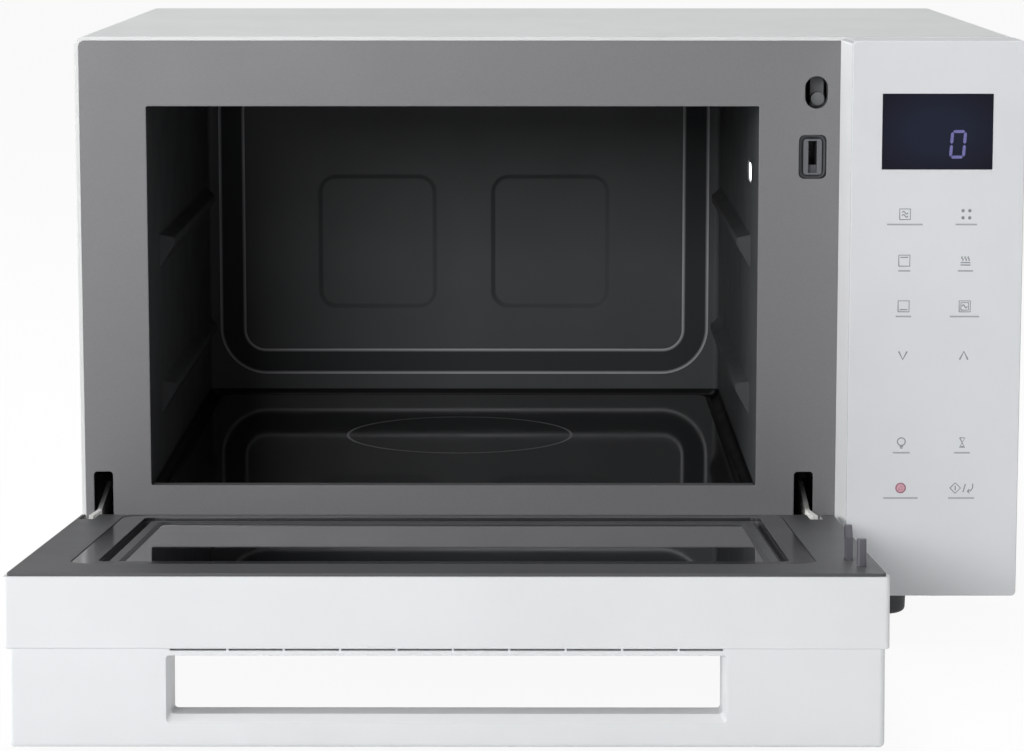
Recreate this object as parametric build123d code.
from build123d import *
import os
from math import cos, radians, sin

# Combination microwave oven with a drop-down door, standing on a worktop with its door open.
# All lengths are in millimetres. +Z is up, the door faces -Y, +X is to the right from the front.
# Depths are counted from the painted face of the front frame, at y = 0, and the whole oven is
# then moved along Y so that its origin is the middle of its footprint with the door open.

# Cabinet
BODY_WIDTH = 483.0
BODY_HEIGHT = 285.0
BODY_DEPTH = 361.0
FOOT_HEIGHT = 25.0
COVER_SHEET = 0.8
COVER_HEM = 2.1
HEM_DEPTH = 10.0
COVER_RADIUS = 5.5
COVER_FLANGE = 14.0
COVER_LIFT = 0.4
BASE_SHEET = 1.0
BASE_FLANGE = 9.0
REAR_SHEET = 1.0
SEAM = 0.3
HALF = BODY_WIDTH / 2
TOP = FOOT_HEIGHT + BODY_HEIGHT
FLOOR_PAN = FOOT_HEIGHT + BASE_SHEET
COVER_BOTTOM = FOOT_HEIGHT + COVER_LIFT
INSIDE_HALF = HALF - COVER_SHEET
REAR_Y = BODY_DEPTH - COVER_SHEET - REAR_SHEET

# Air vents in the side walls, the rear panel and the base
VENT_LENGTH = 24.0
VENT_HEIGHT = 3.5
VENT_COLUMNS = 3
VENT_ROWS = 8
VENT_Y = BODY_DEPTH - 121.0
VENT_Z = FOOT_HEIGHT + 65.0
VENT_PITCH_Y = 30.0
VENT_PITCH_Z = 8.0
REAR_VENT_ROWS = 11
REAR_VENT_PITCH = 8.5
REAR_VENT_LENGTH = 42.0
BASE_VENT_ROWS = 6
BASE_VENT_PITCH = 11.0

# Feet
FOOT_RADIUS = 14.5
FOOT_TIP_RADIUS = 13.5
FOOT_ROUNDING = 2.5
FOOT_INSET_X = 61.0
FOOT_INSET_Y = 50.0
FOOT_STUD_RADIUS = 3.0
FOOT_STUD = 3.0

# Front frame
FRAME_SHEET = 1.2
FRAME_FIT = 0.1
FRAME_RADIUS = 3.4
FRAME_HALF = HALF - COVER_HEM - FRAME_FIT
FRAME_BOTTOM = FLOOR_PAN + FRAME_FIT
FRAME_TOP = TOP - COVER_HEM

# Cavity: what is left between the wall gap at the left and the power compartment at the right
LEFT_MARGIN = 36.25
COMPARTMENT_WIDTH = 131.75
CAVITY_WIDTH = BODY_WIDTH - LEFT_MARGIN - COMPARTMENT_WIDTH
CAVITY_LEFT = LEFT_MARGIN - HALF
CAVITY_RIGHT = CAVITY_LEFT + CAVITY_WIDTH
CAVITY_CENTRE_X = (CAVITY_LEFT + CAVITY_RIGHT) / 2
CAVITY_DEPTH = BODY_DEPTH - 11.0
CAVITY_FLOOR = FOOT_HEIGHT + 44.6
CAVITY_CEILING = TOP - 29.4
CAVITY_SHEET = 1.0
CAVITY_CORNER = 6.0
CAVITY_REAR_RADIUS = 3.0
LINER_FLANGE = 9.0
OPENING_BOTTOM = CAVITY_FLOOR + 7.2
OPENING_TOP = CAVITY_CEILING - 6.3
OPENING_CORNER = 1.0
LIP_DEPTH = 6.0

# Pressed form of the rear wall: a stepped panel with two rounded squares pressed back into it
STEP_HEIGHT = 6.0
STEP_SIDE = 6.5
STEP_BELOW = 15.0
STEP_ABOVE = 3.6
STEP_RUN = 16.5
STEP_OUTER_RADIUS = 29.0
STEP_INNER_RADIUS = 12.0
SQUARE_OFFSET = 53.1
SQUARE_WIDTH = 72.8
SQUARE_HEIGHT = 82.5
SQUARE_RAISE = 56.9
SQUARE_RADIUS = 11.0
SQUARE_DEPTH = 2.0
SQUARE_SLOPE = 2.5

# Shelf rails pressed into the side walls
RAIL_HEIGHTS = (CAVITY_FLOOR + 48.4, CAVITY_CEILING - 83.6)
RAIL_FRONT_GAP = 58.0
RAIL_REAR_GAP = 16.0
RAIL_PROUD = 6.5
RAIL_FLAT = 4.0
RAIL_RISE = 3.0
RAIL_SLOPE = 11.0
RAIL_TAPER = 14.0
RAIL_OVERRUN = 4.0

# Ceramic floor plate, its seal and the well under it
PLATE_THICKNESS = 4.0
PLATE_SIDE_GAP = 9.0
PLATE_FRONT_GAP = 4.0
PLATE_REAR_GAP = 15.0
PLATE_RADIUS = 8.0
SEAL_WIDTH = 3.0
SEAL_DROP = 0.8
SEAL_FIT = 0.05
WELL_RADIUS = 95.0
WELL_DEPTH = 13.0
PLATE_TOP = CAVITY_FLOOR + PLATE_THICKNESS
WELL_FLOOR = CAVITY_FLOOR - WELL_DEPTH

# Stirrer, its shaft and its motor
STIRRER_Y = CAVITY_DEPTH / 2 + 9.0
STIRRER_RADIUS = 62.0
STIRRER_SHEET = 1.5
STIRRER_CLEAR = 5.0
SHAFT_RADIUS = 5.0
SHAFT_NECK = 3.0
SHAFT_FIT = 0.05
SHAFT_HOLE = 14.0
MOTOR_RADIUS = 24.5
MOTOR_SOCKET = 6.0
MOTOR_TAB = 9.0

# Waveguide and magnetron
GUIDE_HEIGHT = 15.5
GUIDE_WIDTH = 90.0
GUIDE_WALL = 1.0
GUIDE_END_X = HALF - 31.5
GUIDE_TOP = WELL_FLOOR - CAVITY_SHEET
GUIDE_BOTTOM = GUIDE_TOP - GUIDE_HEIGHT
MAGNETRON_X = HALF - 78.5
MAGNETRON_WIDTH = 86.0
MAGNETRON_DEPTH = 76.0
MAGNETRON_HEIGHT = 84.0
YOKE_SHEET = 2.0
FIN_COUNT = 7
FIN_SHEET = 0.8
FIN_INSET = 4.0
ANODE_RADIUS = 20.0
MAGNET_RADIUS = 27.0
MAGNET_HEIGHT = 13.0
FILTER_REACH = 24.0
FILTER_HALF = 24.0
FILTER_HEIGHT = 38.0
DOME_RADIUS = 9.0
DOME_HOLE = 12.0

# Grill heater
HEATER_RADIUS = 3.3
HEATER_HALF_WIDTH = CAVITY_WIDTH / 3
HEATER_FRONT_Y = 110.0
HEATER_BACK_Y = CAVITY_DEPTH - 50.0
HEATER_Z = CAVITY_CEILING - 9.0
HEATER_HOLE_FIT = 0.3
HEATER_TAIL = 7.0
CLIP_Y = STIRRER_Y - 4.0
CLIP_SHEET = 1.2
CLIP_WIDTH = 8.0

# Oven lamp, behind an obround window in the right wall of the cavity
LAMP_Y = 72.0
LAMP_Z = CAVITY_CEILING - 46.0
LAMP_LENGTH = 30.0
LAMP_HEIGHT = 10.5
LAMP_GLASS = 2.0
LAMP_TUBE = 12.0
LAMP_REACH = 26.0
LAMP_BULB = 7.0

# Thermostats on the cavity's ceiling
THERMOSTAT_RADIUS = 8.0
THERMOSTAT_HEIGHT = 9.0
THERMOSTAT_FLANGE = 12.0
THERMOSTAT_PLACES = [
    (CAVITY_CENTRE_X, 60.0),
    (CAVITY_CENTRE_X + 60.0, CAVITY_DEPTH - 50.0),
]

# Cooling fan
FAN_X = HALF - 63.5
FAN_Z = FOOT_HEIGHT + 143.0
FAN_FRAME = 118.0
FAN_DEPTH = 25.0
FAN_BORE = 54.0
FAN_TIP_GAP = 2.0
FAN_HUB = 20.0
FAN_BLADES = 7
FAN_BLADE_WIDTH = 24.0
FAN_BLADE_SHEET = 1.8
FAN_BLADE_TWIST = 38.0
FAN_SHAFT = 3.0
FAN_MOTOR_RADIUS = 21.0
FAN_REAR_GAP = 12.0
FAN_ARM = 4.0
FAN_BOSS_INSET = 6.0
DUCT_WALL = 1.5
FAN_BACK = REAR_Y - FAN_REAR_GAP
FAN_FRONT = FAN_BACK - FAN_DEPTH

# Power board
BOARD_LEFT = CAVITY_RIGHT + 8.25
BOARD_RIGHT = HALF - 9.5
BOARD_FRONT = 54.0
BOARD_BACK = 134.0
BOARD_Z = FLOOR_PAN + 8.0
BOARD_SHEET = 1.6
BOARD_TOP = BOARD_Z + BOARD_SHEET
POST_RADIUS = 3.0
POST_INSET = 5.0
CAN_RADIUS = 8.0
CAN_HEIGHT = 22.0
CAN_PITCH = 22.0
SINK_WIDTH = 40.0
SINK_LENGTH = 52.0
SINK_HEIGHT = 28.0
SINK_BASE = 4.0
SINK_FIN = 1.6
SINK_FINS = 7
CORE_WIDTH = 32.0
CORE_DEPTH = 16.0
CORE_HEIGHT = 38.0
CORE_LIMB = 6.0
WINDING_DEPTH = 34.0
WINDING_FIT = 0.3

# Mains filter board on the rear panel
FILTER_LEFT = CAVITY_RIGHT + 8.25
FILTER_BOARD_WIDTH = 54.0
FILTER_TOP = TOP - 14.0
FILTER_BOTTOM = FILTER_TOP - 58.0
FILTER_POST = 8.0
CHOKE_COIL_RADIUS = 11.0
FILTER_BLOCK = 16.0

# Latch and door switches at the right of the front frame
LATCH_X = HALF - 104.1
LATCH_Z = TOP - 61.7
SOCKET_WIDTH = 14.2
SOCKET_HEIGHT = 22.5
SOCKET_RADIUS = 3.0
SOCKET_FACE_WIDTH = 9.5
SOCKET_FACE_HEIGHT = 18.4
SOCKET_FRONT = 0.6
SOCKET_SLOT_WIDTH = 4.4
SOCKET_SLOT_HEIGHT = 16.4
SOCKET_DEPTH = 20.0
CATCH_DEPTH = 5.0
CATCH_THICKNESS = 3.0
CATCH_BITE = 1.5
PLUNGER_X = HALF - 100.9
PLUNGER_Z = TOP - 32.6
PLUNGER_RADIUS = 3.5
PLUNGER_TIP = 12.0
LEVER_Y = 24.0
LEVER_Z = PLUNGER_Z + 13.6
LEVER_PIN = 1.5
LEVER_EYE = 4.0
PLUNGER_HOLE_X = PLUNGER_X - 1.6
PLUNGER_HOLE_Z = PLUNGER_Z + 4.0
PLUNGER_HOLE_WIDTH = 11.7
PLUNGER_HOLE_HEIGHT = 16.6
HOUSING_LEFT = HALF - 120.5
HOUSING_RIGHT = HALF - 91.5
HOUSING_BOTTOM = TOP - 82.0
HOUSING_TOP = TOP - 12.0
HOUSING_DEPTH = 46.0
HOUSING_WALL = 2.0
SWITCH_HALF = 3.2
SWITCH_HEIGHT = 18.0
SWITCH_BUTTON = 1.2
SWITCH_RAISE = 3.0

# Control panel
PANEL_WIDTH = 90.3
PANEL_LEFT = HALF - PANEL_WIDTH
PANEL_STANDOFF = 34.0
PANEL_DRAFT = 2.6
PANEL_WALL = 2.5
PANEL_BOTTOM = FOOT_HEIGHT + 0.3
PANEL_TOP = TOP - 0.5
PANEL_RADIUS = 2.4
PANEL_EDGE = 0.8
PANEL_FACE_Y = -PANEL_STANDOFF
PANEL_INNER_Y = PANEL_FACE_Y + PANEL_WALL
DISPLAY_LEFT = HALF - 72.1
DISPLAY_RIGHT = HALF - 16.2
DISPLAY_TOP = TOP - 27.0
DISPLAY_BOTTOM = DISPLAY_TOP - 38.3
DISPLAY_FIT = 0.15
DISPLAY_GLASS = 2.0
DISPLAY_LEDGE = 3.0
KEYS_BOTTOM = FOOT_HEIGHT + 41.0
KEYS_TOP = DISPLAY_BOTTOM - 10.7
CONTROL_Y = -20.0
BOSS_LEFT = PANEL_LEFT + 11.8
BOSS_RIGHT = HALF - 9.5
BOSS_HEIGHTS = (FOOT_HEIGHT + 51.0, FOOT_HEIGHT + 155.0, TOP - 20.0)
PANEL_RIBS = (FOOT_HEIGHT + 11.0, FOOT_HEIGHT + 29.0)
PANEL_RIB = 1.6
SENSOR_SHEET = 0.6
RELAY_WIDTH = 22.0
WIRING_LEFT = PANEL_LEFT + 14.8
WIRING_RIGHT = HALF - 11.5
WIRING_BOTTOM = FOOT_HEIGHT + 37.0
WIRING_TOP = TOP - 24.0

# Door
DOOR_LEFT = 0.5 - HALF
DOOR_RIGHT = PANEL_LEFT - 1.0
DOOR_TOP = TOP - 0.5
DOOR_GAP = 0.5
DOOR_RIM_DROP = 1.4
DOOR_SHELL_WALL = 2.6
DOOR_CORNER = 2.0
DOOR_EDGE = 1.2
DOOR_OPEN_ANGLE = 85.0
PIVOT_OUT = 20.2
PIVOT_CLEAR = 0.5
PIVOT_Z = FOOT_HEIGHT + PIVOT_OUT - 0.2
DOOR_ARC = PIVOT_OUT - PIVOT_CLEAR
DOOR_BOTTOM = PIVOT_Z - DOOR_ARC
DOOR_INNER_Y = -DOOR_GAP
DOOR_RIM_Y = DOOR_INNER_Y - DOOR_RIM_DROP
DOOR_OUTER_Y = -PANEL_STANDOFF
INNER_EDGE = 1.5
INNER_SHEET = 2.0
SKIRT_DEPTH = 8.0
SKIRT_LIFT = 4.0

# Recess round the inner glass: a ring, a groove and a rim that slopes down to the glass
CHOKE_EDGE = 12.0
CHOKE_HALF = CAVITY_WIDTH / 2 + CHOKE_EDGE
CHOKE_FAR = 1.5
CHOKE_NEAR = DOOR_TOP - PIVOT_Z - 38.5
CHOKE_RADIUS = 12.0
CHOKE_SHEET = 1.6
CHOKE_DROP = 0.2
CHOKE_GAP = 0.4
RECESS_HALF = CHOKE_HALF - CHOKE_EDGE
RECESS_FAR = CHOKE_FAR + CHOKE_EDGE
RECESS_NEAR = CHOKE_NEAR - CHOKE_EDGE
RECESS_RADIUS = 5.0
GROOVE_WIDTH = 4.0
RIM_WIDTH = 4.2
RIM_DROP = 1.3
BEZEL_REACH = 3.0
BEZEL_WALL = 1.5
BEZEL_RUN = 2.2
BEZEL_DROP = 0.9
GLASS_INSET = GROOVE_WIDTH + BEZEL_WALL + 0.1
INNER_GLASS = 4.0
SCREEN_SHEET = 0.8
BEZEL_HIGH = DOOR_INNER_Y - CHOKE_DROP - RIM_DROP
BEZEL_FOOT = BEZEL_HIGH - BEZEL_DROP
SCREEN_BACK = BEZEL_FOOT - INNER_GLASS - SCREEN_SHEET

# Outer glass
OUTER_GLASS = 3.5
WINDOW_MARGIN = 16.0
WINDOW_FAR = 18.0
WINDOW_TOP_GAP = 3.0
WINDOW_RADIUS = 4.0
WINDOW_LEDGE = 6.0
WINDOW_RIM = 2.5

# Steel frame of the door, with the choke channel and the hinge ears
CHOKE_FRAME_SHEET = 1.2
CHANNEL_WIDTH = 20.0
CHANNEL_DEPTH = 13.0
FLANGE_FAR = 30.0
FLANGE_NEAR = DOOR_TOP - PIVOT_Z - 8.5
EAR_SHEET = 2.5
EAR_OUTER_OFFSET = CHOKE_HALF + 12.0
EAR_INNER_OFFSET = EAR_OUTER_OFFSET - EAR_SHEET
EAR_RADIUS = 8.0
EAR_LOW = 34.0
EAR_HIGH = 60.0

# Hinge plates, their slots in the frame and in the door, and the pins
HINGE_SHEET = 2.4
SLOT_OFFSET = EAR_OUTER_OFFSET + 0.9
SLOT_WIDTH = 10.0
SLOT_BOTTOM = FLOOR_PAN + 10.0
SLOT_TOP = OPENING_BOTTOM + 7.2
SLOT_RADIUS = 2.0
HINGE_INSIDE_OFFSET = EAR_OUTER_OFFSET + 3.2
HINGE_OUTSIDE_OFFSET = EAR_OUTER_OFFSET + 7.1
HINGE_EYE = 8.5
HINGE_BACK = 46.0
HINGE_TOP_FRONT = PIVOT_Z + 19.0
HINGE_TOP_BACK = PIVOT_Z + 26.0
HINGE_LOW = SLOT_BOTTOM + 2.0
HINGE_FOOT = 14.0
HINGE_FOOT_FRONT = 6.0
JOGGLE_BACK = -0.3
JOGGLE_FRONT = -4.5
PIN_RADIUS = 3.0
PIN_SEAT = 0.02
PIN_FIT = 0.05
PIN_INNER_OFFSET = EAR_INNER_OFFSET - 2.0
PIN_OUTER_OFFSET = HINGE_OUTSIDE_OFFSET + 2.0
SLIT_INNER_OFFSET = EAR_OUTER_OFFSET + 1.3
SLIT_OUTER_OFFSET = HINGE_OUTSIDE_OFFSET + 1.8
SLIT_REACH = 23.0

# Door handle
HANDLE_REACH = 44.0
HANDLE_HEIGHT = 22.0
HANDLE_INSET = 1.8
HANDLE_TOP_DROP = 1.5
HANDLE_BAR = 14.6
HANDLE_RAIL = 2.1
HANDLE_VENT = 0.9
HANDLE_RIB_PITCH = 24.9
HANDLE_RIB = 1.0
HANDLE_ROUNDING = 2.5
HANDLE_TOP = DOOR_TOP - HANDLE_TOP_DROP
HANDLE_Y = DOOR_OUTER_Y - HANDLE_REACH
GRIP_MARGIN = 73.5
GRIP_LEFT = DOOR_LEFT + GRIP_MARGIN
GRIP_RIGHT = DOOR_RIGHT - GRIP_MARGIN
GRIP_RADIUS = 1.5
GRIP_BEVEL = 3.6

# Latch hook and switch block on the door
HOOK_THICKNESS = 3.0
HOOK_REACH = 15.5
HOOK_HALF = 6.0
HOOK_EYE = 4.5
HOOK_PIVOT_Y = DOOR_INNER_Y - 12.0
HOOK_PIVOT_Z = LATCH_Z + 1.7
HOOK_PIN_RADIUS = 2.0
HOOK_EAR = 5.0
HOOK_EAR_SHEET = 1.6
SPRING_RADIUS = 3.4
SPRING_LENGTH = 4.0
SPRING_FIT = 0.2
BLOCK_X = PLUNGER_X
BLOCK_Z = PLUNGER_Z + 0.6
BLOCK_WIDTH = 4.0
BLOCK_HEIGHT = 5.6
BLOCK_RADIUS = 1.0
BLOCK_GAP = 0.3

# Screws and inlet
SCREW_HEAD = 4.0
SCREW_HEAD_HEIGHT = 2.2
SCREW_SHANK = 1.8
SCREW_CLEAR = 0.2
SCREW_LENGTH = 8.0
GLAND_X = HALF - 36.5
GLAND_Z = FOOT_HEIGHT + 27.0
GLAND_RADIUS = 8.0

# Places of the feet and screws, and the move that brings the origin under the middle
FOOT_PLACES = [
    (side * (HALF - FOOT_INSET_X), y)
    for side in (-1, 1)
    for y in (FOOT_INSET_Y, BODY_DEPTH - FOOT_INSET_Y)
]
SCREW_PLACES = [
    (side * (HALF - COVER_FLANGE / 2), FOOT_HEIGHT + up)
    for side in (-1, 1)
    for up in (45.0, 140.0, 235.0)
] + [(side * HALF / 2, TOP - COVER_FLANGE / 2) for side in (-1, 1)]
OPEN_SINE = sin(radians(DOOR_OPEN_ANGLE))
OPEN_COSINE = cos(radians(DOOR_OPEN_ANGLE))
FRONT_REACH = (
    PIVOT_OUT
    + (HANDLE_TOP - HANDLE_ROUNDING - PIVOT_Z) * OPEN_SINE
    + (-HANDLE_Y - HANDLE_ROUNDING - PIVOT_OUT) * OPEN_COSINE
    + HANDLE_ROUNDING
)
ORIGIN_SHIFT = (FRONT_REACH - BODY_DEPTH - SCREW_HEAD_HEIGHT) / 2


def box(x0, x1, y0, y1, z0, z1):
    """A block between two corners."""
    return Pos((x0 + x1) / 2, (y0 + y1) / 2, (z0 + z1) / 2) * Box(x1 - x0, y1 - y0, z1 - z0)


def rectangle(a0, a1, b0, b1, radius=0.0):
    """A flat rectangle between two corners, with rounded corners where a radius is given."""
    place = Pos((a0 + a1) / 2, (b0 + b1) / 2)
    if radius <= 0:
        return place * Rectangle(a1 - a0, b1 - b0)
    return place * RectangleRounded(a1 - a0, b1 - b0, radius)


def centred(a, b, width, height, radius=0.0):
    """A flat rectangle about its middle."""
    return rectangle(a - width / 2, a + width / 2, b - height / 2, b + height / 2, radius)


def circle(a, b, radius):
    return Pos(a, b) * Circle(radius)


def from_front(outline, front, back):
    """An outline in the front view, as X and Z, made solid from y = front to y = back."""
    return Pos(0, back, 0) * extrude(Plane.XZ * outline, back - front)


def from_side(outline, left, right):
    """An outline in the side view, as Y and Z, made solid from x = left to x = right."""
    return Pos(left, 0, 0) * extrude(Plane.YZ * outline, right - left)


def from_top(outline, bottom, top):
    """An outline in the top view, as X and Y, made solid from z = bottom to z = top."""
    return Pos(0, 0, bottom) * extrude(outline, top - bottom)


def front_loft(outline_a, y_a, outline_b, y_b):
    """A solid between two outlines of the front view at two depths."""
    low = Pos(0, y_a, 0) * (Plane.XZ * outline_a)
    high = Pos(0, y_b, 0) * (Plane.XZ * outline_b)
    return loft([low.faces()[0], high.faces()[0]])


def rod_x(y, z, radius, left, right):
    return from_side(circle(y, z, radius), left, right)


def rod_y(x, z, radius, front, back):
    return from_front(circle(x, z, radius), front, back)


def rod_z(x, y, radius, bottom, top):
    return from_top(circle(x, y, radius), bottom, top)


def group(pieces):
    """Separate solids that share one node."""
    return Compound(children=[solid for piece in pieces for solid in piece.solids()])


# Cabinet shell


def arch(inset):
    """The cabinet's front outline without its bottom edge, inset by a distance."""
    low = COVER_BOTTOM - 2 * COVER_RADIUS - COVER_FLANGE
    whole = rectangle(-HALF + inset, HALF - inset, low, TOP - inset, COVER_RADIUS - min(inset, 4.0))
    return whole - rectangle(-HALF, HALF, low - 1, COVER_BOTTOM)


def cabinet_cover():
    skin = from_front(arch(0) - arch(COVER_SHEET), 0, BODY_DEPTH)
    hem = from_front(arch(COVER_SHEET) - arch(COVER_HEM), 0, HEM_DEPTH)
    flange = from_front(
        arch(COVER_SHEET) - arch(COVER_FLANGE), BODY_DEPTH - COVER_SHEET, BODY_DEPTH
    )
    cover = skin + hem + flange
    for side in (-1, 1):
        for column in range(VENT_COLUMNS):
            y = VENT_Y + column * VENT_PITCH_Y
            for row in range(VENT_ROWS):
                z = VENT_Z + row * VENT_PITCH_Z
                x = sorted((side * (HALF - 2 * COVER_SHEET), side * (HALF + 1)))
                cover -= box(*x, y, y + VENT_LENGTH, z, z + VENT_HEIGHT)
    for x, z in SCREW_PLACES:
        cover -= rod_y(x, z, SCREW_SHANK + SCREW_CLEAR, REAR_Y, BODY_DEPTH + 1)
    return cover


def rear_panel():
    panel = from_front(arch(COVER_SHEET + SEAM), REAR_Y, REAR_Y + REAR_SHEET)
    for row in range(REAR_VENT_ROWS):
        z = FAN_Z + (row - (REAR_VENT_ROWS - 1) / 2) * REAR_VENT_PITCH
        for side in (-1, 1):
            x = FAN_X + side * REAR_VENT_LENGTH * 0.55
            half = REAR_VENT_LENGTH / 2
            panel -= box(x - half, x + half, REAR_Y - 1, BODY_DEPTH, z, z + VENT_HEIGHT)
    panel -= rod_y(GLAND_X, GLAND_Z, GLAND_RADIUS + SEAM, REAR_Y - 1, BODY_DEPTH)
    for x, z in SCREW_PLACES:
        panel -= rod_y(x, z, SCREW_SHANK + SCREW_CLEAR, REAR_Y - 1, BODY_DEPTH)
    return panel


def base_plate():
    half = INSIDE_HALF - SEAM
    plate = box(-half, half, HEM_DEPTH + 1, REAR_Y, FOOT_HEIGHT, FLOOR_PAN)
    nose = HALF - COVER_HEM - SEAM
    plate += box(-nose, nose, FRAME_SHEET, HEM_DEPTH + 1, FOOT_HEIGHT, FLOOR_PAN)
    top = FOOT_HEIGHT + BASE_FLANGE
    plate += box(-nose, nose, FRAME_SHEET, FRAME_SHEET + BASE_SHEET, FOOT_HEIGHT, top)
    plate += box(-half, half, REAR_Y - BASE_SHEET, REAR_Y, FOOT_HEIGHT, top)
    for side in (-1, 1):
        x = sorted((side * half, side * (half - BASE_SHEET)))
        plate += box(*x, HEM_DEPTH + 1, REAR_Y, FOOT_HEIGHT, top)
    for x, y in FOOT_PLACES:
        plate -= rod_z(x, y, FOOT_STUD_RADIUS + SEAM, 0, FLOOR_PAN + 1)
    for row in range(BASE_VENT_ROWS):
        y = BOARD_FRONT + VENT_PITCH_Z + row * BASE_VENT_PITCH
        near = BOARD_LEFT + 2 * POST_INSET
        middle = (BOARD_LEFT + BOARD_RIGHT) / 2
        for x in (near, middle + POST_RADIUS):
            end = x + middle - near - POST_RADIUS
            plate -= box(x, end, y, y + VENT_HEIGHT, 0, FLOOR_PAN + 1)
    return plate


def front_frame():
    frame = rectangle(-FRAME_HALF, FRAME_HALF, FRAME_BOTTOM, FRAME_TOP, FRAME_RADIUS)
    frame -= rectangle(CAVITY_LEFT, CAVITY_RIGHT, OPENING_BOTTOM, OPENING_TOP, OPENING_CORNER)
    for side in (-1, 1):
        x = CAVITY_CENTRE_X + side * SLOT_OFFSET
        half = SLOT_WIDTH / 2
        frame -= rectangle(x - half, x + half, SLOT_BOTTOM, SLOT_TOP, SLOT_RADIUS)
    frame -= centred(LATCH_X, LATCH_Z, SOCKET_WIDTH, SOCKET_HEIGHT, SOCKET_RADIUS)
    frame -= Pos(PLUNGER_HOLE_X, PLUNGER_HOLE_Z) * SlotOverall(
        PLUNGER_HOLE_HEIGHT, PLUNGER_HOLE_WIDTH, rotation=90
    )
    frame -= rectangle(WIRING_LEFT, WIRING_RIGHT, WIRING_BOTTOM, WIRING_TOP, SLOT_RADIUS)
    plate = from_front(frame, 0, FRAME_SHEET)
    left = CAVITY_LEFT + OPENING_CORNER
    right = CAVITY_RIGHT - OPENING_CORNER
    back = FRAME_SHEET + LIP_DEPTH
    plate += box(left, right, 0, back, OPENING_BOTTOM - FRAME_SHEET, OPENING_BOTTOM)
    plate += box(left, right, 0, back, OPENING_TOP, OPENING_TOP + FRAME_SHEET)
    return plate


def feet():
    pads = []
    for x, y in FOOT_PLACES:
        pad = loft(
            [
                (Pos(x, y, 0) * Circle(FOOT_TIP_RADIUS)).faces()[0],
                (Pos(x, y, FOOT_HEIGHT) * Circle(FOOT_RADIUS)).faces()[0],
            ]
        )
        pad = fillet(pad.edges().sort_by(Axis.Z)[0], FOOT_ROUNDING)
        pads.append(pad + rod_z(x, y, FOOT_STUD_RADIUS, FOOT_HEIGHT - 1, FOOT_HEIGHT + FOOT_STUD))
    return group(pads)


def cabinet_screws():
    screws = []
    for x, z in SCREW_PLACES:
        head = rod_y(x, z, SCREW_HEAD, BODY_DEPTH, BODY_DEPTH + SCREW_HEAD_HEIGHT)
        screws.append(head + rod_y(x, z, SCREW_SHANK, BODY_DEPTH - SCREW_LENGTH, BODY_DEPTH))
    return group(screws)


def cord_gland():
    end = BODY_DEPTH + SCREW_HEAD_HEIGHT
    outside = rod_y(GLAND_X, GLAND_Z, GLAND_RADIUS + 3, REAR_Y + REAR_SHEET, end)
    neck = rod_y(GLAND_X, GLAND_Z, GLAND_RADIUS, REAR_Y - 6, BODY_DEPTH)
    inside = rod_y(GLAND_X, GLAND_Z, GLAND_RADIUS + 2, REAR_Y - 8, REAR_Y)
    bore = rod_y(GLAND_X, GLAND_Z, GLAND_RADIUS - 4, REAR_Y - 9, end + 1)
    return outside + neck + inside - bore


# Oven cavity


def step_outline(inset, radius):
    return rectangle(
        CAVITY_LEFT + STEP_SIDE + inset,
        CAVITY_RIGHT - STEP_SIDE - inset,
        CAVITY_FLOOR + STEP_BELOW + inset,
        CAVITY_CEILING - STEP_ABOVE - inset,
        radius,
    )


def step_panel(grow):
    """The stepped panel that stands out of the rear wall into the cavity."""
    wall = CAVITY_DEPTH + grow
    outer = step_outline(0, STEP_OUTER_RADIUS)
    inner = step_outline(STEP_RUN, STEP_INNER_RADIUS)
    return front_loft(outer, wall, inner, wall - STEP_HEIGHT)


def square_outline(side, inset):
    return centred(
        CAVITY_CENTRE_X + side * SQUARE_OFFSET,
        CAVITY_FLOOR + SQUARE_RAISE + SQUARE_HEIGHT / 2,
        SQUARE_WIDTH - 2 * inset,
        SQUARE_HEIGHT - 2 * inset,
        SQUARE_RADIUS - inset,
    )


def pressed_square(side, grow):
    """One rounded square pressed back into the stepped panel, with sloping sides."""
    face = CAVITY_DEPTH - STEP_HEIGHT
    edge = square_outline(side, -grow)
    deep = square_outline(side, SQUARE_SLOPE - grow)
    back = face + SQUARE_DEPTH + grow
    return from_front(edge, face - 1, face + grow) + front_loft(edge, face + grow, deep, back)


def shelf_rail(side, height, grow):
    """A rail pressed into a side wall: its section runs on past the wall, ends tapered."""
    wall = CAVITY_WIDTH / 2
    past = RAIL_OVERRUN + RAIL_PROUD
    rise = RAIL_RISE / RAIL_PROUD * past
    fall = RAIL_SLOPE / RAIL_PROUD * past
    tip = wall - RAIL_PROUD
    half = RAIL_FLAT / 2
    start = RAIL_FRONT_GAP
    end = CAVITY_DEPTH - RAIL_REAR_GAP
    section = make_face(
        Polyline(
            (tip, height + half),
            (tip, height - half),
            (tip + past, height - half - fall),
            (tip + past, height + half + rise),
            close=True,
        )
    )
    plan = make_face(
        Polyline(
            (tip, start + RAIL_TAPER),
            (tip, end - RAIL_TAPER),
            (tip + past, end + RAIL_TAPER * RAIL_OVERRUN / RAIL_PROUD),
            (tip + past, start - RAIL_TAPER * RAIL_OVERRUN / RAIL_PROUD),
            close=True,
        )
    )
    if grow > 0:
        section = offset(section, -grow, kind=Kind.INTERSECTION)
        plan = offset(plan, -grow, kind=Kind.INTERSECTION)
    rail = from_front(section, 0, CAVITY_DEPTH) & from_top(plan, 0, TOP)
    if side < 0:
        rail = mirror(rail, Plane.YZ)
    return Pos(CAVITY_CENTRE_X, 0, 0) * rail


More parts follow.
